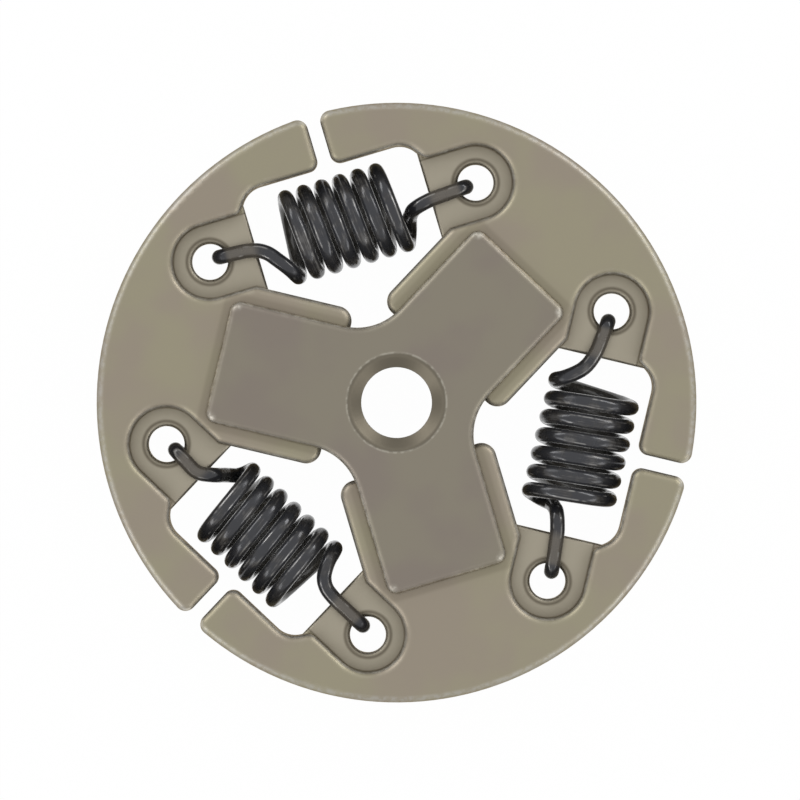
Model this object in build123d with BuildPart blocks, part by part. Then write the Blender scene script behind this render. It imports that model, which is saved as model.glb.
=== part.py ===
from build123d import *
from math import cos, radians, sin, sqrt
import os

# Centrifugal clutch of a chainsaw or brush cutter. Millimetres, degrees.
# The origin is the centre of the hub's back face. +Z points out of the front, the side with the raised
# Y-shaped flange. Arm 1 lies along +X. Arms, shoes and springs repeat every third of a turn.
# Each end of a shoe mirrors the other, so it is drawn once, beside the gap between two shoes: "across" is
# a distance from the gap's centre line and "outward" is one from the clutch's centre, along that line.
# The sizes build up from the inside: guide arm, prong, coil, rim.

# Hub, the three-arm carrier
arm_count = 3
guide_half_width = 6.1
guide_reach = 19.0  # centre to an arm's end
guide_fillet = 4.0  # between two arms
guide_corner = 1.0
flange_side_overhang = 1.15  # flange past the guide arm
flange_end_overhang = 2.4
flange_thickness = 1.0
flange_fillet = 6.8
flange_corner = 1.3
flange_rounding = 0.85
thread_radius = 4.15  # crest of the internal thread
countersink_radius = 5.8
countersink_depth = 1.2
boss_radius = 8.5
boss_height = 1.0
boss_chamfer = 0.4
back_chamfer = 0.6

# Springs
wire_diameter = 1.75
coil_diameter = 11.15  # outside
coil_pitch = 2.2
coil_turns = 6
hook_bend = 1.25  # the wire's bends are measured on its centre line
hook_tail = 1.6
lead_run = 1.7  # straight on from the coil's end

# Corners of the wire between a coil and its hook, and the bend radii there and where it leaves the coil.
# Each is given as shares: of the way from the coil's end to the tab's edge, of the coil's radius towards
# the centre, and of the level at which the wire lies over the tab
front_lead = [(0.25, 0.72, 1.23), (0.75, 0.15, 1.06), (1.15, 0, 1)]
front_lead_bends = [3.0, 2.2, 3.0, 3.0]
back_lead = [(0.25, 0.64, -0.82), (0.48, 0.3, -0.2), (0.68, 0.11, 1), (1.15, 0, 1)]
back_lead_bends = [1.3, 1.3, 2.4, 1.3, 3.0]

# Shoes, the three sliding weights
shoe_thickness = 12.0
rim_band = 6.25  # from a rim's flat inner side to its friction face, at the gap
rim_gap = 1.6  # between the rims of neighbouring shoes
rim_inner_corner = 1.2
rim_outer_corner = 1.25
window_fillet = 2.9
face_rounding = 1.0

# Prongs of a shoe, which straddle a guide arm
prong_width = 3.2
prong_tip_distance = 7.3  # centre to the ends of the prongs
prong_tip_corner = 1.7
slot_corner = 1.2

# Tabs of a shoe, one for each spring hook
tab_reach = 5.6  # tab's edge to the centre of its hook hole
tab_thickness = 4.0
tab_rounding = 0.4
pocket_half_width = 4.3
pocket_fillet = 1.2
pocket_turn_width = 0.7  # how far past the tab's edge the pocket's upper wall turns towards the rim
window_turn_width = 1.0  # how far inside the tab's edge that turn meets the rim
hook_hole_radius = 2.1
hook_hole_rounding = 0.6

# Clearances
guide_clearance = 0.1  # shoe to guide arm, at each side and at the slot's end
face_clearance = 0.1  # shoe's front face to the flange
hook_clearance = 0.05  # wire to the tab's face, and to the wall of the hook hole
coil_prong_clearance = 1.255
coil_rim_clearance = 1.175
coil_tab_clearance = 3.125  # room for the lead of the wire


def prong_outward(across):
    """How far outward the line of a prong's outer side is, at a distance from the gap's centre line."""
    return (prong_half_width + across * cos(gap_turn)) / sin(gap_turn)


def beside_gap(across, outward, side=1):
    """The point of shoe 1 at a place beside a gap: side 1 is its anticlockwise end, side -1 the other."""
    x = outward * cos(gap_turn) + across * sin(gap_turn)
    y = outward * sin(gap_turn) - across * cos(gap_turn)
    return (x, side * y)


# Worked out from the sizes above, in the plane of the shoes
arm_turn = 360 / arm_count
gap_turn = radians(arm_turn / 2)
wire_radius = wire_diameter / 2
coil_radius = coil_diameter / 2 - wire_radius
coil_length = coil_pitch * coil_turns
coil_end_across = coil_length / 2 + wire_radius
slot_half_width = guide_half_width + guide_clearance
slot_end = guide_reach + guide_clearance
prong_half_width = slot_half_width + prong_width
tab_edge_across = coil_end_across + coil_tab_clearance
hook_hole_across = tab_edge_across + tab_reach
hook_hole_outward = prong_outward(coil_end_across) + coil_prong_clearance + coil_diameter / 2
window_outward = hook_hole_outward + coil_diameter / 2 + coil_rim_clearance
rim_radius = window_outward + rim_band
rim_end_outward = sqrt(rim_radius**2 - (rim_gap / 2) ** 2)
pocket_top = hook_hole_outward + pocket_half_width
pocket_bottom = hook_hole_outward - pocket_half_width

# Worked out from the sizes above, from back to front
shoe_back = boss_height
shoe_middle = shoe_back + shoe_thickness / 2
shoe_front = shoe_back + shoe_thickness
tab_back = shoe_middle - tab_thickness / 2
pocket_depth = (shoe_thickness - tab_thickness) / 2
flange_back = shoe_front + face_clearance
flange_front = flange_back + flange_thickness
wire_level = tab_thickness / 2 + wire_radius + hook_clearance
hook_reach = hook_hole_across - hook_hole_radius + hook_clearance + wire_radius

# Corners beside a gap: where the slanted wall between a tab and the rim starts, passes the tab's edge and
# ends; where the prong's side meets the tab's edge; and where its line runs into the pocket's lower wall
turn_start = (tab_edge_across + pocket_turn_width, pocket_top)
turn_end = (tab_edge_across - window_turn_width, window_outward)
turn_share = pocket_turn_width / (pocket_turn_width + window_turn_width)
turn_at_edge = (tab_edge_across, pocket_top + turn_share * (window_outward - pocket_top))
tab_foot = (tab_edge_across, prong_outward(tab_edge_across))
prong_end = ((pocket_bottom * sin(gap_turn) - prong_half_width) / cos(gap_turn), pocket_bottom)
rim_inner_end = (rim_gap / 2, window_outward)
rim_outer_end = (rim_gap / 2, rim_end_outward)

# What is open beside a gap, in the layer of the tab, and in the layers in front of it and behind it
gap_line = [(0, window_outward), (0, prong_outward(0))]
tab_window = [*gap_line, tab_foot, turn_at_edge, turn_end]
pocket_walls = [(hook_hole_across, pocket_bottom), (hook_hole_across, pocket_top)]
face_window = [*gap_line, prong_end, *pocket_walls, turn_start, turn_end]


def corners_at(vertices, *places):
    """The corners among these that lie at the given places beside either gap."""
    points = [beside_gap(*place, side) for place in places for side in (1, -1)]
    return ShapeList([vertices.sort_by_distance((*point, 0))[0] for point in points])


def shoe_layer(window, has_pocket):
    """The outline of a layer of shoe 1, without its slot, with the window given open at each end."""
    wedge = [beside_gap(rim_gap / 2, 2 * rim_radius, side) for side in (1, -1)]
    wedge.append((rim_gap / 2 / sin(gap_turn), 0))
    with BuildSketch() as layer:
        Circle(rim_radius)
        Polygon(*wedge, align=None, mode=Mode.INTERSECT)
        for side in (1, -1):
            Polygon(*[beside_gap(*p, side) for p in window], align=None, mode=Mode.SUBTRACT)
            if has_pocket:
                with Locations(beside_gap(hook_hole_across, hook_hole_outward, side)):
                    Circle(pocket_half_width, mode=Mode.SUBTRACT)
        Rectangle(2 * prong_tip_distance, 4 * prong_half_width, mode=Mode.SUBTRACT)
        fillet(corners_at(layer.vertices(), rim_inner_end), rim_inner_corner)
        fillet(corners_at(layer.vertices(), rim_outer_end), rim_outer_corner)
        fillet(corners_at(layer.vertices(), turn_end), window_fillet)
        fillet(layer.vertices().group_by(Axis.X)[0], prong_tip_corner)
        if has_pocket:
            fillet(corners_at(layer.vertices(), turn_start, prong_end), pocket_fillet)
    return layer.sketch


def front_and_back(solid):
    """The faces of a solid that lie furthest back and furthest forward."""
    faces = solid.faces().sort_by(Axis.Z)
    return [faces[0], faces[-1]]


def is_tab_edge(edge):
    """Whether an edge runs along the free edge of one of shoe 1's tabs, in front or behind."""
    half_way = (tab_foot[1] + turn_at_edge[1]) / 2
    places = [Vector(*beside_gap(tab_edge_across, half_way, side), edge.center().Z) for side in (1, -1)]
    return any((edge.center() - place).length < tab_rounding for place in places)


# Shoe 1, lying along +X, from which the other two are turned
tab_layer = shoe_layer(tab_window, has_pocket=False)
face_layer = shoe_layer(face_window, has_pocket=True)
hook_holes = [beside_gap(hook_hole_across, hook_hole_outward, side) for side in (1, -1)]
with BuildPart() as first_shoe:
    with BuildSketch(Plane.XY.offset(tab_back)):
        add(tab_layer)
    extrude(amount=tab_thickness)
    layer_edges = [edge for face in front_and_back(first_shoe) for edge in face.edges()]
    fillet([edge for edge in layer_edges if is_tab_edge(edge)], tab_rounding)
    with BuildSketch(Plane.XY.offset(shoe_back), Plane.XY.offset(shoe_front - pocket_depth)):
        add(face_layer)
    extrude(amount=pocket_depth)
    fillet([edge for face in front_and_back(first_shoe) for edge in face.edges()], face_rounding)
    with BuildSketch(Plane.XY.offset(tab_back)):
        with Locations(hook_holes):
            Circle(hook_hole_radius)
    extrude(amount=tab_thickness, mode=Mode.SUBTRACT)
    fillet(first_shoe.edges(Select.LAST).filter_by(GeomType.CIRCLE), hook_hole_rounding)
    with BuildSketch(Plane.XY.offset(shoe_back)) as slot:
        Rectangle(slot_end, 2 * slot_half_width, align=(Align.MIN, Align.CENTER))
        fillet(slot.vertices().group_by(Axis.X)[-1], slot_corner)
    extrude(amount=shoe_thickness, mode=Mode.SUBTRACT)

shoes = []
for number in range(arm_count):
    with BuildPart() as shoe:
        with Locations(Rotation(0, 0, number * arm_turn)):
            add(first_shoe.part)
    shoe.part.label = f"shoe_{number + 1}"
    shoes.append(shoe.part)


def arms(half_width, reach, inner_fillet, corner):
    """The Y-shaped outline of the arms, rounded between them and at their ends."""
    with BuildSketch() as outline:
        with PolarLocations(0, arm_count):
            Rectangle(reach, 2 * half_width, align=(Align.MIN, Align.CENTER))
        fillet(outline.vertices().sort_by_distance((0, 0, 0))[arm_count:], corner)
        fillet(outline.vertices().sort_by_distance((0, 0, 0))[:arm_count], inner_fillet)
    return outline.sketch


# Hub: the guide arms, the wider flange in front of them, and the boss behind
with BuildPart() as hub:
    with BuildSketch(Plane.XY.offset(shoe_back)):
        add(arms(guide_half_width, guide_reach, guide_fillet, guide_corner))
    extrude(amount=flange_back - shoe_back)
    with BuildSketch(Plane.XY.offset(flange_back)):
        flange_half_width = guide_half_width + flange_side_overhang
        add(arms(flange_half_width, guide_reach + flange_end_overhang, flange_fillet, flange_corner))
    extrude(amount=flange_thickness)
    fillet(hub.faces().sort_by(Axis.Z)[-1].edges(), flange_rounding)
    with BuildSketch():
        Circle(boss_radius)
    extrude(amount=boss_height)
    chamfer(hub.faces().sort_by(Axis.Z)[0].edges(), boss_chamfer)
    with BuildSketch(Plane.XZ):
        Polygon(
            (0, 0),
            (thread_radius + back_chamfer, 0),
            (thread_radius, back_chamfer),
            (thread_radius, flange_front - countersink_depth),
            (countersink_radius, flange_front),
            (0, flange_front),
            align=None,
        )
    revolve(axis=Axis.Z, mode=Mode.SUBTRACT)
hub.part.label = "hub"


def wire_corner(end, share_along, share_in, share_front):
    """A corner of the wire, as shares of the way to the tab's edge, the coil's radius and its level."""
    along = coil_length / 2 + share_along * (tab_edge_across - coil_length / 2)
    return (share_in * coil_radius, -share_front * wire_level, end * along)


def hook(end):
    """The last corners of the wire: down through the hook hole, and its tail under the tab."""
    return [
        (0, -wire_level, end * hook_reach),
        (0, wire_level, end * hook_reach),
        (0, wire_level, end * (hook_reach - hook_tail)),
    ]


# A spring, standing on its coil's axis: +Z runs clockwise round the clutch, +X points at its centre and
# -Y at the front. The coil starts and ends on the side that faces the centre. At its start the wire leaves
# towards the front, and at its end towards the back, from where it comes forward beside the tab.
with BuildPart() as tension_spring:
    with BuildLine() as coil_line:
        Helix(coil_pitch, coil_length, coil_radius, center=(0, 0, -coil_length / 2))
    coil = coil_line.line
    with BuildSketch(Plane(origin=coil @ 0, z_dir=coil % 0)):
        Circle(wire_radius)
    sweep(path=coil, is_frenet=True)
    leads = [
        (-1, coil @ 0, -(coil % 0), front_lead, front_lead_bends),
        (1, coil @ 1, coil % 1, back_lead, back_lead_bends),
    ]
    for end, start, leave, corners, bends in leads:
        route = [wire_corner(end, *corner) for corner in corners] + hook(end)
        with BuildLine() as lead_line:
            FilletPolyline(start, start + leave * lead_run, *route, radius=[*bends, hook_bend, hook_bend])
        lead = lead_line.line
        with BuildSketch(Plane(origin=lead @ 0, z_dir=lead % 0)):
            Circle(wire_radius)
        sweep(path=lead)

springs = []
for number in range(arm_count):
    outward_turn = (number + 0.5) * arm_turn
    middle = Vector(hook_hole_outward, 0, shoe_middle).rotate(Axis.Z, outward_turn)
    inwards = Vector(-1, 0, 0).rotate(Axis.Z, outward_turn)
    clockwise = Vector(0, -1, 0).rotate(Axis.Z, outward_turn)
    with BuildPart() as spring:
        with Locations(Plane(origin=middle, x_dir=inwards, z_dir=clockwise)):
            add(tension_spring.part)
    spring.part.label = f"spring_{number + 1}"
    springs.append(spring.part)

print(f"rim radius {rim_radius:.3f}, hook holes {hook_hole_outward:.3f} out and {hook_hole_across:.3f} across")
os.makedirs("parts", exist_ok=True)
for piece in [hub.part, *shoes, *springs]:
    export_step(piece, f"parts/{piece.label}.step")
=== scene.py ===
import bmesh
import bpy
import numpy as np
from mathutils import Matrix, Vector


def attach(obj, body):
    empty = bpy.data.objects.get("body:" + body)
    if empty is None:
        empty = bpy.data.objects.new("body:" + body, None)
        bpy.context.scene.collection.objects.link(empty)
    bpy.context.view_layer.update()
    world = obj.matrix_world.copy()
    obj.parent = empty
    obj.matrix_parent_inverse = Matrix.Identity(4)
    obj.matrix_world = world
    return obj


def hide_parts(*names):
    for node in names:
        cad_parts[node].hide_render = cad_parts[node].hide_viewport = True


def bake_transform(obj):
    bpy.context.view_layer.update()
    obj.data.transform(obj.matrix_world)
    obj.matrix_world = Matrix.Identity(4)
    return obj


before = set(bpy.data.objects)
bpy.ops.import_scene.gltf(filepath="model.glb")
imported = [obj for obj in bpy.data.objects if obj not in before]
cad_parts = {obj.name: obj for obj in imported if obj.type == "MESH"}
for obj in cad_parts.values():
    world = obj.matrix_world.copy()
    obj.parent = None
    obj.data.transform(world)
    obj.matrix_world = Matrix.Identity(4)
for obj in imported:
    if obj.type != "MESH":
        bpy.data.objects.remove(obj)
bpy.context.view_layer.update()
mm = 0.001

# The clutch lies on its back. +Z is its front, arm 1 lies along +X, and the gaps between the shoes
# are at 60, 180 and 300 degrees. Sizes below are in millimetres unless a note says otherwise.
# A pair called a step is where a share starts and where it is full, and noise scales are per metre
scene = bpy.context.scene
scene.view_settings.view_transform = "Standard"
armTurn = 120
gapTurns = [60, 180, 300]
white = (1, 1, 1, 1)

clutch = {
    "hookHoleOut": 22.0,  # centre of the clutch to a hook hole, along the middle line of a gap
    "hookHoleAcross": 16.2,  # a hook hole to that line
    "hookHoleRadius": 2.1,
    "pocketHalfWidth": 4.3,
    "pocketFootAcross": 11.86,  # where the pocket's wall meets the prong's outer side
    "prongHalfWidth": 9.4,
    "tabEdgeAcross": 10.6,
    "shoeMiddle": 7.0,
    "tabHalfThickness": 2.0,
    "rimRadius": 35.0,
    "flangeFront": 14.1,
    "flangeHalfWidth": 7.25,
    "flangeReach": 21.4,
    "countersinkRadius": 5.8,
}


# Shader building


class Value:
    # A number or colour that runs through a material. Operators on it add Math nodes

    def __init__(self, paint, socket):
        self.paint, self.socket = paint, socket

    def math(self, operation, *others):
        return self.paint.node("ShaderNodeMath", {"operation": operation}, dict(enumerate([self, *others])))

    def __add__(self, other):
        return self.math("ADD", other)

    def __sub__(self, other):
        return self.math("SUBTRACT", other)

    def __rsub__(self, other):
        return self.paint.node("ShaderNodeMath", {"operation": "SUBTRACT"}, {0: other, 1: self})

    def __mul__(self, other):
        return self.math("MULTIPLY", other)

    def __abs__(self):
        return self.math("ABSOLUTE")

    __radd__ = __add__
    __rmul__ = __mul__


class Paint:
    # The node tree of a material or of the world, which starts out empty

    def __init__(self, owner):
        owner.use_nodes = True
        self.owner, self.tree = owner, owner.node_tree
        self.tree.nodes.clear()

    def node(self, kind, settings=None, inputs=None, output=0):
        made = self.tree.nodes.new(kind)
        for key, setting in (settings or {}).items():
            setattr(made, key, setting)
        for key, given in (inputs or {}).items():
            if isinstance(given, Value):
                self.tree.links.new(given.socket, made.inputs[key])
            else:
                made.inputs[key].default_value = given
        return Value(self, made.outputs[output]) if made.outputs else None

    def step(self, value, low, high):
        # Smooth step: 0 below low, 1 above high (or the other way round where low is more than high)
        given = {"Value": value, "From Min": low, "From Max": high}
        return self.node("ShaderNodeMapRange", {"interpolation_type": "SMOOTHSTEP"}, given)

    def line(self, value, middle, halfWidth):
        # A soft line: 1 where value is at the middle, 0 from half a width away
        return self.step(abs(value - middle), halfWidth, 0.0)

    def blend(self, share, first, second):
        # Colours mixed by a share, from the first to the second
        given = {"Factor": share, 6: first, 7: second}
        return self.node("ShaderNodeMix", {"data_type": "RGBA"}, given, output=2)

    def noise(self, place, scale, detail=2.0, roughness=0.5):
        given = {"Vector": place, "Scale": scale, "Detail": detail, "Roughness": roughness}
        return self.node("ShaderNodeTexNoise", inputs=given)

    def place(self, output="Object"):
        return self.node("ShaderNodeTexCoord", output=output)

    def split(self, vector):
        return [self.node("ShaderNodeSeparateXYZ", inputs={0: vector}, output=axis) for axis in range(3)]

    def join(self, x, y, z):
        return self.node("ShaderNodeCombineXYZ", inputs={0: x, 1: y, 2: z})

    def upwards(self):
        # How much the surface faces up or down, from 0 to 1
        return abs(self.split(self.place("Normal"))[2])

    def attribute(self, name):
        return self.node("ShaderNodeAttribute", {"attribute_name": name}, output=2)

    def bump(self, height, distance, strength=0.6):
        given = {"Height": height, "Distance": distance, "Strength": strength}
        return self.node("ShaderNodeBump", inputs=given)

    def seenRays(self):
        # 1 for the rays that show the white background: the camera's, mirrored ones and those let through
        outputs = [f"Is {ray} Ray" for ray in ("Camera", "Glossy", "Transmission")]
        camera, glossy, through = [self.node("ShaderNodeLightPath", output=output) for output in outputs]
        return camera.math("MAXIMUM", glossy).math("MAXIMUM", through)

    def finish(self, **sockets):
        # The surface: one Principled shader
        given = {name.replace("_", " "): value for name, value in sockets.items()}
        surface = self.node("ShaderNodeBsdfPrincipled", inputs=given)
        self.node("ShaderNodeOutputMaterial", inputs={"Surface": surface})
        return self.owner


def srgb(red, green, blue):
    # An 0 to 255 display colour as the linear colour that nodes take
    shares = np.array([red, green, blue]) / 255
    linear = np.where(shares <= 0.04045, shares / 12.92, ((shares + 0.055) / 1.055) ** 2.4)
    return (*linear.tolist(), 1.0)


# Steel of the shoes and the hub: sintered, tumbled, with painted highlights on its edges and painted shade
# in its corners and on its walls

steel = {
    "shoeColour": srgb(149, 143, 123),
    "shoeShade": srgb(147, 138, 124),  # the patches that are less olive
    # painted light: the tab lighter than the shoe's face, against the shade in its pocket
    "tabLitColour": srgb(166, 159, 143),
    "hubColour": srgb(133, 127, 114),
    "hubShade": srgb(130, 122, 113),
    # painted shade: the countersink darker than the hub's face
    "coneShadeColour": srgb(109, 103, 91),
    # painted shade on upright walls
    "wallShadeColour": srgb(104, 98, 85),
    # wear and painted highlight, on rounded edges and round the countersink
    "edgeLightColour": srgb(184, 180, 168),
    "steepLightColour": srgb(222, 218, 207),  # worn bright and a painted highlight, where an edge turns down into its wall; also the painted highlights on the arms' corners
    # painted shade: the line at the pocket's foot, the ring on the hook hole's lip and the strip beside the
    # flange
    "shadeColour": srgb(70, 60, 44),
    "rimBand": srgb(174, 173, 169),  # bare metal along the rim's edges, worn, with a painted highlight
    "rimBandShare": 0.45,
    "rimBandStep": (0.9, 0.4),  # inside the rim's face
    "edgeTint": srgb(205, 190, 165),  # of what is mirrored at a flat angle
    "metallic": 1.0,
    "patchScale": 95,
    "patchStep": (0.38, 0.62),
    "roughness": 0.46,
    "sheenScale": 240,
    "sheenSwing": 0.12,
    "grainScale": 2600,
    "grainHeight": 0.000006,  # metres
    "edgeLightShare": 0.09,
    "steepLightShare": 0.95,
    "wallShadeShare": 0.5,
    "edgeStep": (0.15, 0.6),  # these five go by how much the surface faces up, from 0 to 1
    "flatStep": (0.998, 0.93),
    "steepStep": (0.05, 0.2),
    "gentleStep": (0.8, 0.5),
    "wallShadeStep": (0.2, 0.05),
    "wearScale": 1100,  # of the fine breaks in worn edges
    "wearStep": (0.4, 0.6),
    "fadeScale": 150,  # of the lengths over which the wear fades
    "fadeStep": (0.42, 0.58),
    "tabStep": (0.6, 0.2),  # off the faces of a tab
    "pocketStep": (0.1, -0.1),  # outside the pocket's wall
    # painted shade along the foot of the pocket's wall
    "footShadeShare": 0.42,
    "footShadeLine": (-0.02, 0.18),  # a line is a middle and half a width, this one from the pocket's wall
    # painted shade on the lip of the hook hole
    "lipShadeShare": 0.55,
    "lipShadeLine": (0.57, 0.36),  # outside the hook hole's wall
    # painted shade on the shoe beside the hub's flange
    "flangeShadeShare": 0.18,
    "flangeShadeStep": (1.15, 0.6),  # beside the flange
    "flangeShadeDepth": (2.5, 1.6),  # below the flange's front
    "coneStep": (0.1, -0.1),  # outside the countersink's edge
    # painted highlight round the countersink's edge
    "ringHighlightLine": (0.03, 0.22),
    "ringHighlightShare": (0.12, 0.36),  # round the countersink: everywhere, and more at the specks
    "speckScale": 1400,
    "speckStep": (0.4, 0.6),
    "glintInset": 0.5,  # of the painted highlights on the corners of the hub's arms
    "glintShare": 0.55,
    "glintStep": (1.0, 0.2),
}

# The rim's friction face, ground bright as it turns
ground = {
    "colour": srgb(136, 131, 118),
    "light": srgb(158, 153, 140),
    "share": 0.9,
    "faceStep": (0.45, 0.2),  # inside the rim's face
    "uprightStep": (0.3, 0.1),  # by how much the surface faces up
    "roughness": 0.34,
    "roughnessSwing": 0.3,
    "lineScale": 8.0,  # per millimetre of height
    "cloudScale": 260,
    "cloudShare": 0.3,
    "step": (0.36, 0.64),
}


def turnedPlace(paint, turn):
    # Where a point is beside the nearest of three equal lines, the first of them turned so many radians:
    # its angle is wrapped to a third of a turn about that line, then made a place across it and along it
    x, y, z = paint.split(paint.place())
    angle = y.math("ARCTAN2", x) - turn
    third = np.radians(armTurn)
    fromLine = angle.math("WRAP", third / 2, -third / 2)
    radius = (x * x + y * y).math("SQRT") * 1000
    return fromLine.math("SINE") * radius, fromLine.math("COSINE") * radius, z * 1000, radius


def steelGrain(paint, place):
    # Bump of the tumbled skin: fine grain with a coarser unevenness under it
    fine = paint.noise(place, steel["grainScale"], 2.0, 0.6)
    coarse = paint.noise(place, steel["grainScale"] / 9, 2.0, 0.5)
    return paint.bump(fine + coarse * 2.0, steel["grainHeight"])


def steelSheen(paint, place):
    # Roughness, a little uneven
    swing = (paint.noise(place, steel["sheenScale"]) - 0.5) * steel["sheenSwing"]
    return steel["roughness"] + swing


def atLeast(low, share):
    # A share that starts at low and not at 0
    return share * (1 - low) + low


def wearSpecks(paint, place):
    # Where fine noise is high
    return paint.step(paint.noise(place, steel["speckScale"], 2.0, 0.6), *steel["speckStep"])


def patchColour(paint, place, colour, shade):
    # Wide patches of a second shade
    patches = paint.step(paint.noise(place, steel["patchScale"], 2.5, 0.55), *steel["patchStep"])
    return paint.blend(patches, colour, shade)


def paintEdges(paint, place, colour, free):
    # By how much the surface faces up: rounded edges a little lighter, as wear and a painted highlight, the
    # steep lower half of them bright, as wear and a painted highlight, and upright walls darker, as painted
    # shade, over the share of the surface that is free for it.
    # Fine noise breaks the wear and highlights up, and wide noise lets them fade in places
    up = paint.upwards()
    breaks = paint.step(paint.noise(place, steel["wearScale"], 3.0, 0.65), *steel["wearStep"])
    fade = paint.step(paint.noise(place, steel["fadeScale"]), *steel["fadeStep"])
    worn = atLeast(0.2, breaks) * atLeast(0.35, fade)
    # rounded edges lighter: wear and a painted highlight
    edge = paint.step(up, *steel["edgeStep"]) * paint.step(up, *steel["flatStep"]) * worn
    colour = paint.blend(edge * free * steel["edgeLightShare"], colour, steel["edgeLightColour"])
    # the steep lower half of rounded edges bright: wear and a painted highlight
    steep = paint.step(up, *steel["steepStep"]) * paint.step(up, *steel["gentleStep"]) * atLeast(0.35, worn)
    colour = paint.blend(steep * free * steel["steepLightShare"], colour, steel["steepLightColour"])
    # painted shade on upright walls
    wall = paint.step(up, *steel["wallShadeStep"]) * free
    return paint.blend(wall * steel["wallShadeShare"], colour, steel["wallShadeColour"])


def finishSteel(paint, place, colour, roughness):
    # Metal that mirrors browner at a flat angle
    return paint.finish(
        Base_Color=colour,
        Roughness=roughness,
        Metallic=steel["metallic"],
        Specular_Tint=steel["edgeTint"],
        Normal=steelGrain(paint, place),
    )


def groundLines(paint, place, radius, z):
    # The rim's friction face: 1 there and 0 elsewhere, and noise drawn out into lines round the
    # clutch by taking it from the height alone, a little from the place
    onRim = paint.step(clutch["rimRadius"] - radius, *ground["faceStep"])
    fine = paint.noise(paint.join(radius * 0.2, 0.0, z), ground["lineScale"], 2.0, 0.55)
    cloud = paint.noise(place, ground["cloudScale"], 3.0, 0.6)
    return onRim, fine * (1 - ground["cloudShare"]) + cloud * ground["cloudShare"]


def fromPocket(out, side):
    # How far outside a tab's pocket a point is, less than 0 inside it. The pocket is a half circle
    # round the hook hole, with straight walls towards the gap, and one of them ends at the prong
    offLine = out - clutch["hookHoleOut"]
    past = (side - clutch["hookHoleAcross"]).math("MAXIMUM", 0.0)
    fromRound = (past * past + offLine * offLine).math("SQRT") - clutch["pocketHalfWidth"]
    slant = np.radians(armTurn / 2)
    fromProng = clutch["prongHalfWidth"] - out * np.sin(slant) + side * np.cos(slant)
    pastFoot = (side - clutch["pocketFootAcross"]).math("MAXIMUM", offLine)
    return fromRound.math("MINIMUM", fromProng.math("MAXIMUM", pastFoot))


def makeShoeSteel():
    paint = Paint(bpy.data.materials.new("shoeSteel"))
    place = paint.place()
    across, out, z, radius = turnedPlace(paint, np.radians(gapTurns[0]))
    side = abs(across)
    colour = patchColour(paint, place, steel["shoeColour"], steel["shoeShade"])

    # The pocket round a hook hole, its tab lighter as painted light against the pocket's shade, with a
    # painted shade line along the foot of its wall
    fromWall = fromPocket(out, side)
    onTab = paint.step(abs(z - clutch["shoeMiddle"]) - clutch["tabHalfThickness"], *steel["tabStep"])
    colour = paint.blend(paint.step(fromWall, *steel["pocketStep"]) * onTab, colour, steel["tabLitColour"])
    footShade = paint.line(fromWall, *steel["footShadeLine"])

    # Painted shade: a dark ring on the lip of the hook hole
    toHole, offLine = side - clutch["hookHoleAcross"], out - clutch["hookHoleOut"]
    fromHole = (toHole * toHole + offLine * offLine).math("SQRT")
    lipShade = paint.line(fromHole - clutch["hookHoleRadius"], *steel["lipShadeLine"]) * onTab

    # Painted shade on the shoe beside the hub's flange
    armAcross, armAlong, _, _ = turnedPlace(paint, 0.0)
    offSide, offEnd = abs(armAcross) - clutch["flangeHalfWidth"], armAlong - clutch["flangeReach"]
    flangeShade = paint.step(offSide.math("MAXIMUM", offEnd), *steel["flangeShadeStep"])
    flangeShade = flangeShade * paint.step(clutch["flangeFront"] - z, *steel["flangeShadeDepth"])

    onRim, lines = groundLines(paint, place, radius, z)
    colour = paintEdges(paint, place, colour, 1 - onRim)
    # a band along the rim's edge: worn bare metal and a painted highlight
    nearRim = paint.step(clutch["rimRadius"] - radius, *steel["rimBandStep"])
    nearRim = nearRim * atLeast(0.3, wearSpecks(paint, place))
    colour = paint.blend(nearRim * steel["rimBandShare"], colour, steel["rimBand"])
    onRim = onRim * paint.step(paint.upwards(), *ground["uprightStep"])
    # painted shade: the pocket's foot line, the hook hole's lip and beside the flange, which are also
    # rougher
    paintedShade = (footShade * steel["footShadeShare"]).math("MAXIMUM", lipShade * steel["lipShadeShare"])
    paintedShade = paintedShade.math("MAXIMUM", flangeShade * steel["flangeShadeShare"])
    colour = paint.blend(paintedShade, colour, steel["shadeColour"])
    groundColour = paint.blend(paint.step(lines, *ground["step"]), ground["colour"], ground["light"])
    colour = paint.blend(onRim * ground["share"], colour, groundColour)
    smoother = ground["roughness"] - steel["roughness"] + (lines - 0.5) * ground["roughnessSwing"]
    roughness = steelSheen(paint, place) + paintedShade * 0.2 + onRim * smoother
    return finishSteel(paint, place, colour, roughness)


def makeHubSteel():
    paint = Paint(bpy.data.materials.new("hubSteel"))
    place = paint.place()
    across, along, _, radius = turnedPlace(paint, 0.0)
    colour = patchColour(paint, place, steel["hubColour"], steel["hubShade"])
    fromCone = radius - clutch["countersinkRadius"]
    cone = paint.step(fromCone, *steel["coneStep"])
    # painted shade: the countersink darker than the hub's face
    colour = paint.blend(cone, colour, steel["coneShadeColour"])
    colour = paintEdges(paint, place, colour, 1 - cone)

    # Painted highlights on the countersink's edge and on the corners of the arms, broken up by specks of
    # wear
    speck = wearSpecks(paint, place)
    ring = paint.line(fromCone, *steel["ringHighlightLine"])
    everywhere, atSpecks = steel["ringHighlightShare"]
    colour = paint.blend(ring * (everywhere + speck * atSpecks), colour, steel["edgeLightColour"])
    offSide = abs(across) - (clutch["flangeHalfWidth"] - steel["glintInset"])
    offEnd = along - (clutch["flangeReach"] - steel["glintInset"])
    fromCorner = (offSide * offSide + offEnd * offEnd).math("SQRT")
    # painted highlights on the arms' corners
    cornerGlint = paint.step(fromCorner, *steel["glintStep"]) * atLeast(0.3, speck)
    colour = paint.blend(cornerGlint * steel["glintShare"], colour, steel["steepLightColour"])
    return finishSteel(paint, place, colour, steelSheen(paint, place))


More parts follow.
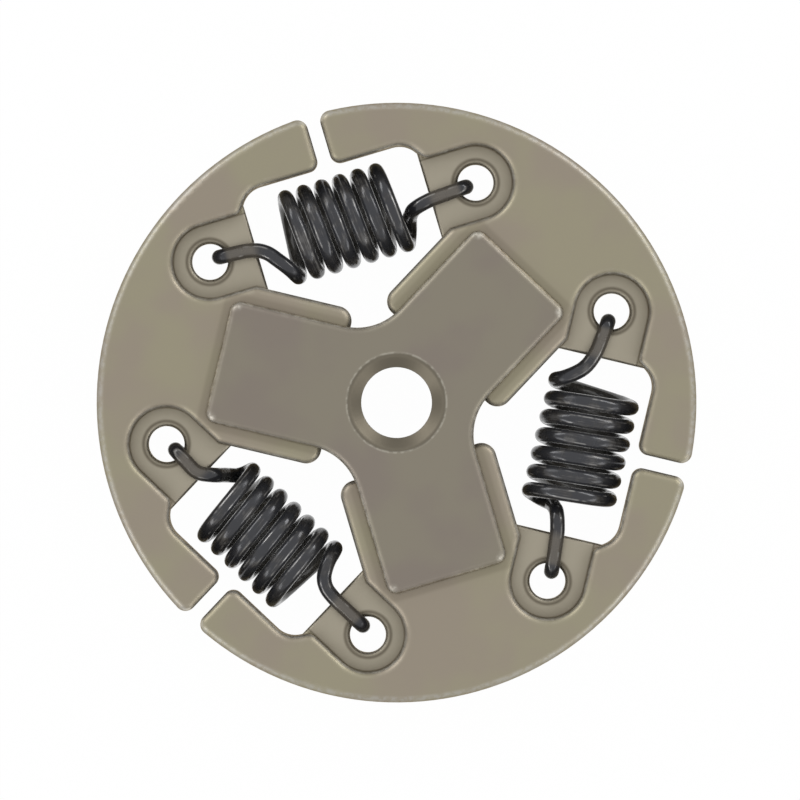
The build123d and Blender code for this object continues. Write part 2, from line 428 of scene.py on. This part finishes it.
shoeSteel = makeShoeSteel()
hubSteel = makeHubSteel()
for number in (1, 2, 3):
    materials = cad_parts[f"shoe_{number}"].data.materials
    materials.clear()
    materials.append(shoeSteel)
print("steel: shoes done")


# Hub: a copy of the hub with its thread cut

thread = {
    "pitch": 1.5,
    "rootRadius": 4.96,
    "rootWidth": 0.19,
    "mouthRadius": 3.9,  # the cutter starts inside the bore
    "mouthWidth": 1.41,
    "stepsPerTurn": 72,
    "leftHand": True,
    "startTurn": 136.6,  # degrees round the clutch at which the groove passes the back face
    "top": 12.0,  # the groove runs out below the countersink, over the last part of a turn
    "runOut": 0.25,
    "runOutRadius": 4.1,
    "sharpAngle": 35,  # degrees
    "flatAngle": 0.2,  # faces that differ by less are joined
}


def newPiece(name, points, faces, material):
    # A mesh object from arrays of corners, in metres, and faces
    mesh = bpy.data.meshes.new(name)
    mesh.from_pydata(points, [], faces)
    mesh.validate()
    mesh.materials.append(material)
    piece = bpy.data.objects.new(name, mesh)
    scene.collection.objects.link(piece)
    return piece


def ringQuads(steps, sides):
    # Quads between rings of points, ring after ring
    step, side = np.meshgrid(np.arange(steps - 1), np.arange(sides), indexing="ij")
    ring, after = step * sides, (side + 1) % sides
    quads = np.stack([ring + side, ring + after, ring + sides + after, ring + sides + side], -1)
    return quads.reshape(-1, 4)


def fixNormals(piece):
    # Turns a closed mesh's faces outwards
    work = bmesh.new()
    work.from_mesh(piece.data)
    bmesh.ops.recalc_face_normals(work, faces=work.faces)
    work.to_mesh(piece.data)
    work.free()


def makeThreadCutter():
    # A V-shaped rib wound on a helix: each of its four corners is a radius and a height, the heights
    # rising by one pitch a turn. At the top the outer corners draw in until the rib is inside the bore
    low, high = -thread["pitch"], thread["top"]
    turns = (high - low) / thread["pitch"]
    steps = int(turns * thread["stepsPerTurn"])
    rise = np.linspace(low, high, steps)
    hand = -1 if thread["leftHand"] else 1
    angle = np.radians(thread["startTurn"]) + hand * 2 * np.pi * rise / thread["pitch"]
    left = np.clip((high - rise) / (thread["runOut"] * thread["pitch"]), 0, 1)
    root = thread["runOutRadius"] + (thread["rootRadius"] - thread["runOutRadius"]) * left
    mouth = np.full(steps, thread["mouthRadius"])
    radii = np.stack([mouth, root, root, mouth], -1)
    lifts = np.array([thread["mouthWidth"], thread["rootWidth"]])[[0, 1, 1, 0]] / 2 * [-1, -1, 1, 1]
    x = radii * np.cos(angle)[:, None]
    y = radii * np.sin(angle)[:, None]
    z = lifts + rise[:, None]
    points = np.stack([x, y, z], -1).reshape(-1, 3) * mm
    sides = len(lifts)
    ends = [list(range(sides))[::-1], [(steps - 1) * sides + side for side in range(sides)]]
    cutter = newPiece("threadCutter", points.tolist(), ringQuads(steps, sides).tolist() + ends, hubSteel)
    fixNormals(cutter)
    return cutter


def makeThreadedHub():
    # The hub's own mesh with its doubles merged, less the cutter
    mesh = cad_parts["hub"].data.copy()
    hub = bpy.data.objects.new("hub_threaded", mesh)
    scene.collection.objects.link(hub)
    work = bmesh.new()
    work.from_mesh(mesh)
    bmesh.ops.remove_doubles(work, verts=work.verts, dist=1e-7)
    bmesh.ops.recalc_face_normals(work, faces=work.faces)
    work.to_mesh(mesh)
    work.free()
    cutter = makeThreadCutter()
    cut = hub.modifiers.new("thread", "BOOLEAN")
    cut.operation, cut.solver, cut.object = "DIFFERENCE", "EXACT", cutter
    graph = bpy.context.evaluated_depsgraph_get()
    threaded = bpy.data.meshes.new_from_object(hub.evaluated_get(graph))
    hub.modifiers.clear()
    hub.data = threaded
    bpy.data.objects.remove(cutter)
    threaded.materials.clear()
    threaded.materials.append(hubSteel)
    work = bmesh.new()
    work.from_mesh(threaded)
    flat = np.radians(thread["flatAngle"])
    bmesh.ops.dissolve_limit(work, angle_limit=flat, verts=work.verts, edges=work.edges)
    work.to_mesh(threaded)
    work.free()
    threaded.shade_smooth()
    threaded.set_sharp_from_angle(angle=np.radians(thread["sharpAngle"]))
    weighted = hub.modifiers.new("shading", "WEIGHTED_NORMAL")
    weighted.keep_sharp = True
    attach(hub, "hub")
    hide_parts("hub")


makeThreadedHub()
print("hub: thread cut")


# Springs: one wire each, as two halves that meet in the middle of the coil

spring = {
    "wireRadius": 0.875,
    "coilRadius": 4.7,  # of the wire's centre line
    "pitch": 2.2,
    "turns": 6,
    "leadRun": 1.7,  # straight on from the coil's end
    "wireLevel": 2.925,  # wire's centre line above the middle of the tab
    "holeGap": 0.02,  # wire to the wall of the hook hole
    "hookBend": 1.25,
    "hookTail": 1.6,
    # How the coils sit, across and outward: by the photograph none is quite in the middle
    "coilPlace": {1: (-0.11, 0.03), 2: (0.16, 0.0), 3: (-0.28, 0.17)},
    "leaveBend": {-1: 2.6, 1: 1.2},  # first bend after the coil, of the lead in front and of the one behind
}

# Corners of the wire between coil and hook: away from the middle of the gap, outward, forward of the
# middle of the tab, and the bend there. No two of the six are bent alike. The lead in front is -1 and
# the one behind 1
tabLevel = spring["wireLevel"]
leads = {
    (1, -1): [(7.4, -3.6, 3.6, 1.8), (9.7, -0.55, 3.1, 3.4), (11.6, 0.0, tabLevel, 4.5)],
    (2, -1): [(6.95, -2.9, 3.6, 1.8), (8.2, -0.62, 3.15, 2.8), (10.6, -0.35, tabLevel, 4.5)],
    (3, -1): [(7.4, -3.5, 3.6, 1.8), (9.1, -1.35, 3.1, 4.0), (11.3, -0.62, tabLevel, 4.5)],
    (1, 1): [
        (7.25, -3.1, -2.4, 1.2),
        (7.7, -1.55, -0.6, 2.6),
        (8.5, -0.78, tabLevel, 1.8),
        (10.6, -0.4, tabLevel, 4.0),
    ],
    (2, 1): [
        (7.45, -3.15, -2.4, 1.2),
        (8.65, -2.15, -0.6, 2.6),
        (9.7, -1.15, tabLevel, 1.4),
        (11.3, 0.05, tabLevel, 2.3),
    ],
    (3, 1): [
        (7.0, -3.0, -2.4, 1.2),
        (7.3, -1.5, -0.6, 2.6),
        (8.15, -0.72, tabLevel, 1.8),
        (10.3, -0.22, tabLevel, 4.0),
    ],
}

# How far outward of the tab's middle line each hook lies in its hole
hookOut = {(1, -1): 0.22, (2, -1): -0.35, (3, -1): -0.13, (1, 1): -0.14, (2, 1): -0.22, (3, 1): 0.2}

wire = {
    "stepsPerTurn": 72,
    "bendStep": 7,  # degrees between rings on a bend
    "runStep": 0.5,
    "sides": 22,
    "capBevel": 0.2,
    "sharpAngle": 50,  # degrees
    "crestRings": 12,  # over which the crest turns to the front, past the coil's end
    "edgeFade": 0.8,  # over which the wire starts to count as over its tab
    "holeFade": 0.5,
}
halfCoilPoints = spring["turns"] * wire["stepsPerTurn"] // 2 + 1


def unit(vector):
    return vector / np.linalg.norm(vector)


def filletPath(corners, bends):
    # A line through corners with an arc in place of each inner one: the arc starts and ends at
    # bend * tan(half the turn) from its corner
    points = [corners[0]]
    for before, corner, after, bend in zip(corners, corners[1:], corners[2:], bends):
        back, on = unit(before - corner), unit(after - corner)
        turn = np.pi - np.arccos(np.clip(back @ on, -1, 1))
        middle, sidewards = unit(back + on), unit(on - back)
        centre = corner + middle * bend / np.cos(turn / 2)
        swing = np.linspace(-turn / 2, turn / 2, 2 + int(np.degrees(turn) / wire["bendStep"]))[:, None]
        points.extend(centre + bend * (np.sin(swing) * sidewards - np.cos(swing) * middle))
    points.append(corners[-1])
    return np.array(points)


def evenRuns(points):
    # More points on long straight runs, so that rings are nowhere far apart
    out = [points[:1]]
    for start, end in zip(points, points[1:]):
        count = max(1, int(np.linalg.norm(end - start) / wire["runStep"]))
        out.append(start + (end - start) * (np.arange(1, count + 1) / count)[:, None])
    return np.concatenate(out)


def springPath(number, end):
    # Half of the wire's centre line, from the middle of the coil to the tail of the hook, in the
    # gap's own frame: across, outward, forward. end is -1 on the side where the wire leaves to the
    # front. The coil is across = pitch * angle / 2 pi, outward = -radius cos, forward = -radius sin
    last = np.pi * spring["turns"]
    angle = end * np.linspace(0, last, halfCoilPoints)
    whole = angle + last
    rise = spring["pitch"] / (2 * np.pi)
    outward, forward = -spring["coilRadius"] * np.cos(whole), -spring["coilRadius"] * np.sin(whole)
    coil = np.stack([rise * angle, outward, forward], -1) + [*spring["coilPlace"][number], 0]
    leave = end * unit(np.array([rise, 0, -spring["coilRadius"]]))
    bent, out = leads[number, end], hookOut[number, end]
    toWall = clutch["hookHoleRadius"] - spring["wireRadius"] - spring["holeGap"]
    reach = clutch["hookHoleAcross"] - np.sqrt(toWall**2 - out**2)
    corners = [coil[-1], coil[-1] + leave * spring["leadRun"]]
    corners += [np.array([end * across, outward, forward]) for across, outward, forward, _ in bent]
    corners += [
        np.array([end * reach, out, tabLevel]),
        np.array([end * reach, out, -tabLevel]),
        np.array([end * (reach - spring["hookTail"]), out, -tabLevel]),
    ]
    bends = [spring["leaveBend"][end], *[bend for _, _, _, bend in bent], *[spring["hookBend"]] * 2]
    return np.concatenate([coil, evenRuns(filletPath(corners, bends))[1:]])


def wireFrames(path):
    # Two directions square to the wire at each point of its line, turned as little as can be from
    # one point to the next
    tangent = np.gradient(path, axis=0)
    tangent /= np.linalg.norm(tangent, axis=1)[:, None]
    normal = np.zeros_like(path)
    normal[0] = unit(np.cross(tangent[0], [1.0, 0.0, 0.0]))
    for i in range(1, len(path)):
        normal[i] = unit(normal[i - 1] - tangent[i] * (normal[i - 1] @ tangent[i]))
    return normal, np.cross(tangent, normal)


def sweepWire(path):
    # A ring at each point of the line: point + radius * (cos * normal + sin * binormal). At the tail
    # a last ring shrinks to a bevel, and both ends close on a point
    normal, binormal = wireFrames(path)
    sides, bevel = wire["sides"], wire["capBevel"]
    swing = (2 * np.pi * np.arange(sides) / sides)[None, :, None]
    rings = np.cos(swing) * normal[:, None] + np.sin(swing) * binormal[:, None]
    points = path[:, None] + spring["wireRadius"] * rings
    on = unit(path[-1] - path[-2])
    points = np.concatenate([points, [points[-1] - rings[-1] * bevel + on * bevel]])
    steps = len(points)
    corners = np.concatenate([points.reshape(-1, 3), path[:1], [path[-1] + on * bevel]])
    side = np.arange(sides)
    after = (side + 1) % sides
    lastRing = (steps - 1) * sides
    caps = [
        np.stack([after, side, np.full(sides, steps * sides)], -1),
        np.stack([lastRing + side, lastRing + after, np.full(sides, steps * sides + 1)], -1),
    ]
    length = np.append(0, np.cumsum(np.linalg.norm(np.diff(path, axis=0), axis=1)))
    return corners, ringQuads(steps, sides), caps, np.append(length, length[-1] + bevel)


def addWireUv(piece, quads, length):
    # u is the way along the wire and v the way round it, both in millimetres. The caps get one u
    sides = wire["sides"]
    girth = 2 * np.pi * spring["wireRadius"]
    step, side = quads[:, 0] // sides, quads[:, 0] % sides
    u = np.stack([length[step], length[step], length[step + 1], length[step + 1]], -1)
    v = np.stack([side, side + 1, side + 1, side], -1) * girth / sides
    capV = np.repeat(np.arange(sides), 3) * 0.1
    capUv = np.stack([np.full(len(capV), 0.5), capV], -1)
    uv = np.concatenate([np.stack([u, v], -1).reshape(-1, 2), capUv, capUv])
    layer = piece.data.uv_layers.new(name="wire")
    layer.data.foreach_set("uv", uv.astype(np.float32).ravel())


def overTabShare(corners, end):
    # 1 where the wire lies on top of a tab, from the tab's edge to the hook hole, and 0 elsewhere
    out, forward = corners[:, 0] * end, corners[:, 2]
    hole = clutch["hookHoleAcross"] - clutch["hookHoleRadius"]
    pastEdge = np.clip((out - clutch["tabEdgeAcross"]) / wire["edgeFade"] + 0.5, 0, 1)
    beforeHole = np.clip((hole - out) / wire["holeFade"] + 0.6, 0, 1)
    return pastEdge * beforeHole * (forward > 0)


def crestShare(path, corners, number):
    # How far round the wire a point is from its crest, as a cosine. The crest is the side away from
    # the coil's middle line, and past the coil's end it turns to the front
    past = np.clip((np.arange(len(path)) - halfCoilPoints) / wire["crestRings"], 0, 1)[:, None]
    away = path * [0, 1, 1] - [0, *spring["coilPlace"][number][1:], 0]
    away /= np.linalg.norm(away, axis=1)[:, None]
    crest = away * (1 - past) + np.array([0, 0, 1.0]) * past
    crest /= np.linalg.norm(crest, axis=1)[:, None] + 1e-9
    rings = np.append(np.arange(len(path)), len(path) - 1)
    centres = np.append(np.repeat(rings, wire["sides"]), [0, len(path) - 1])
    return ((corners - path[centres]) * crest[centres]).sum(1) / spring["wireRadius"]


def addShare(piece, name, share):
    layer = piece.data.attributes.new(name, "FLOAT", "POINT")
    layer.data.foreach_set("value", share.astype(np.float32))


def makeSpringHalf(number, end, material):
    # A half of the wire, moved from the gap's frame to the clutch's. A spring's clockwise end is on
    # the shoe before the gap, and the half stretches from the gap's middle to that shoe's tab
    path = springPath(number, end)
    corners, quads, caps, length = sweepWire(path)
    turn = np.radians(gapTurns[number - 1])
    outward = np.array([np.cos(turn), np.sin(turn), 0])
    across = np.array([np.sin(turn), -np.cos(turn), 0])  # clockwise, seen from the front
    front = np.array([0, 0, 1.0])
    middle = outward * clutch["hookHoleOut"] + front * clutch["shoeMiddle"]
    points = (middle + corners @ np.stack([across, outward, front])) * mm
    faces = quads.tolist() + caps[0].tolist() + caps[1].tolist()
    name = f"spring_{number}_{'front' if end < 0 else 'back'}_hook"
    piece = newPiece(name, points.tolist(), faces, material)
    addWireUv(piece, quads, length)
    addShare(piece, "overTab", overTabShare(corners, end))
    addShare(piece, "crest", crestShare(path, corners, number))
    fixNormals(piece)
    piece.data.shade_smooth()
    piece.data.set_sharp_from_angle(angle=np.radians(wire["sharpAngle"]))
    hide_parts(f"spring_{number}")
    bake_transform(piece)


wireLook = {
    "colour": srgb(49, 50, 54),
    "worn": srgb(112, 111, 110),
    "flankLift": srgb(106, 105, 103),  # painted light on the wire's flanks, where its coils all but touch, against their shade
    "highlightStreak": srgb(168, 166, 163),  # painted highlights in lines along the wire, either side of its crest
    "brown": srgb(62, 58, 53),
    "overTab": srgb(106, 100, 91),  # painted reflection of the tab: lighter and browner where the wire lies on it
    "metallic": 0.25,
    "smooth": 0.13,
    "dull": 0.34,
    "patchScale": 420,
    "brownStep": (0.45, 0.7),
    "wornStep": (1.05, 1.3),
    "wornShare": 0.45,
    "flankLiftStep": (0.6, 0.2),  # cosines of the angle from the crest
    "flankLiftShare": 0.8,
    "highlightStreakLine": (0.82, 0.1),  # cosines too
    "highlightStreakStep": (0.5, 0.62),
    "lineStretch": (0.25, 3.0),  # noise along and around the wire, per millimetre
    "runStretch": (0.55, 0.3),
    "breakStretch": (0.5, 0.55),
    "dullStep": (0.46, 0.6),
    "fineScale": 2600,
    "lineHeight": 0.00001,  # metres
}


def makeWireSteel():
    # Blackened wire: drawn lines along it and worn lighter in patches, with painted light on its flanks,
    # painted highlight streaks and a painted reflection of the tabs under it
    paint = Paint(bpy.data.materials.new("springWire"))
    along, around, _ = paint.split(paint.node("ShaderNodeUVMap", {"uv_map": "wire"}))
    place = paint.place()

    def drawnNoise(stretch, layer, scale, detail):
        return paint.noise(paint.join(along * stretch[0], around * stretch[1], layer), scale, detail, 0.6)

    lines = drawnNoise(wireLook["lineStretch"], 0.0, 1.6, 3.0)
    runs = drawnNoise(wireLook["runStretch"], 7.0, 1.0, 3.0)
    breaks = drawnNoise(wireLook["breakStretch"], 3.0, 1.0, 2.0)
    patches = paint.noise(place, wireLook["patchScale"], 3.0, 0.6)
    fine = paint.noise(place, wireLook["fineScale"], 2.0, 0.6)
    crest, overTab = paint.attribute("crest"), paint.attribute("overTab")
    brown = paint.step(patches, *wireLook["brownStep"]) * 0.5
    colour = paint.blend(brown, wireLook["colour"], wireLook["brown"])
    worn = paint.step(lines + patches, *wireLook["wornStep"])
    colour = paint.blend(worn * wireLook["wornShare"], colour, wireLook["worn"])
    # painted light on the flanks, against the shade between the coils
    flankLift = paint.step(crest, *wireLook["flankLiftStep"]) * wireLook["flankLiftShare"]
    colour = paint.blend(flankLift, colour, wireLook["flankLift"])
    # painted reflection of the tab under the wire
    colour = paint.blend(overTab * (0.4 + lines * 0.6), colour, wireLook["overTab"])
    # painted highlight streaks either side of the crest
    highlightStreak = paint.line(crest, *wireLook["highlightStreakLine"]) * paint.step(breaks, *wireLook["highlightStreakStep"])
    colour = paint.blend(highlightStreak * (0.3 + lines * 0.5), colour, wireLook["highlightStreak"])
    dull = paint.step(runs, *wireLook["dullStep"]) * (wireLook["dull"] - wireLook["smooth"])
    roughness = wireLook["smooth"] + dull + (fine - 0.5) * 0.12
    bump = paint.bump(lines * 0.7 + fine * 0.6, wireLook["lineHeight"])
    return paint.finish(Base_Color=colour, Roughness=roughness, Metallic=wireLook["metallic"], Normal=bump)


springWire = makeWireSteel()
for number in (1, 2, 3):
    for end in (-1, 1):
        makeSpringHalf(number, end, springWire)
print("springs: done")


# Floor, lights and camera

floorLook = {
    "size": 4.0,  # metres
    "drop": 0.03,  # below the clutch's back, so that the two planes don't mingle
    "whiteShare": 0.985,  # the rest of what is seen keeps the clutch's shadow
    "colour": (0.92, 0.92, 0.92, 1.0),
}


def makeFloor():
    paint = Paint(bpy.data.materials.new("floorWhite"))
    matte = paint.node("ShaderNodeBsdfDiffuse", inputs={"Color": floorLook["colour"]})
    glow = paint.node("ShaderNodeEmission", inputs={"Color": white, "Strength": 1.0})
    seen = paint.seenRays() * floorLook["whiteShare"]
    mixed = paint.node("ShaderNodeMixShader", inputs={0: seen, 1: matte, 2: glow})
    paint.node("ShaderNodeOutputMaterial", inputs={"Surface": mixed})
    half, level = floorLook["size"] / 2, -floorLook["drop"] * mm
    corners = [(-half, -half, level), (half, -half, level), (half, half, level), (-half, half, level)]
    newPiece("floor", corners, [(0, 1, 2, 3)], paint.owner)


world = {"level": 0.75}


def makeWorld():
    # White where it is seen, and a little less bright as a light
    scene.world = bpy.data.worlds.new("studio")
    paint = Paint(scene.world)
    given = {"Value": paint.seenRays(), "To Min": world["level"]}
    strength = paint.node("ShaderNodeMapRange", inputs=given)
    glow = paint.node("ShaderNodeBackground", inputs={"Color": white, "Strength": strength})
    paint.node("ShaderNodeOutputWorld", inputs={"Surface": glow})


# Four equal lamps. Angles are above the floor and round the picture, anticlockwise from its right
lamp = {"above": 23, "away": 0.6, "wide": 0.36, "tall": 0.15}  # metres
lights = [
    {"name": "upperRightBox", "around": 42, "watts": 0.85},
    {"name": "upperLeftBox", "around": 138, "watts": 0.75},
    {"name": "lowerLeftBox", "around": 218, "watts": 0.58},
    {"name": "lowerRightBox", "around": 325, "watts": 0.47},
]

view = {
    "distance": 2.0,  # metres, from the lens to the plane of the rim's front edge
    "planeHeight": 12.2,
    "widthSeen": 93.36,
    "pixels": 800,
    "centrePixel": (396.55, 402.61),  # where the clutch's centre shows
    "armTurn": 46.6,  # degrees: where arm 1 points, anticlockwise from the picture's right
    "sensor": 36.0,
    "clip": (0.05, 20),  # metres
}


def makeLights():
    # Each lamp on a sphere round the clutch, turned to face its middle
    lift = np.radians(lamp["above"])
    for light in lights:
        turn = np.radians(light["around"] - view["armTurn"])
        away = Vector((np.cos(turn) * np.cos(lift), np.sin(turn) * np.cos(lift), np.sin(lift)))
        data = bpy.data.lights.new(light["name"], "AREA")
        data.shape, data.size, data.size_y = "RECTANGLE", lamp["wide"], lamp["tall"]
        data.energy = light["watts"]
        box = bpy.data.objects.new(light["name"], data)
        facing = away.to_track_quat("Z", "Y").to_matrix().to_4x4()
        box.matrix_world = Matrix.Translation(away * lamp["away"]) @ facing
        scene.collection.objects.link(box)


def makeCamera():
    # Straight above, turned so that arm 1 points as in the photograph
    data = bpy.data.cameras.new("camera")
    data.sensor_width = view["sensor"]
    data.lens = view["sensor"] * view["distance"] / (view["widthSeen"] * mm)
    data.clip_start, data.clip_end = view["clip"]
    camera = bpy.data.objects.new("camera", data)
    pixel = view["widthSeen"] * mm / view["pixels"]
    middle = view["pixels"] / 2
    right = (middle - view["centrePixel"][0]) * pixel
    up = (view["centrePixel"][1] - middle) * pixel
    turn = Matrix.Rotation(-np.radians(view["armTurn"]), 4, "Z")
    height = view["distance"] + view["planeHeight"] * mm
    camera.matrix_world = turn @ Matrix.Translation(Vector((right, up, height)))
    scene.collection.objects.link(camera)
    scene.camera = camera


makeFloor()
makeWorld()
makeLights()
makeCamera()
print("stage: done")
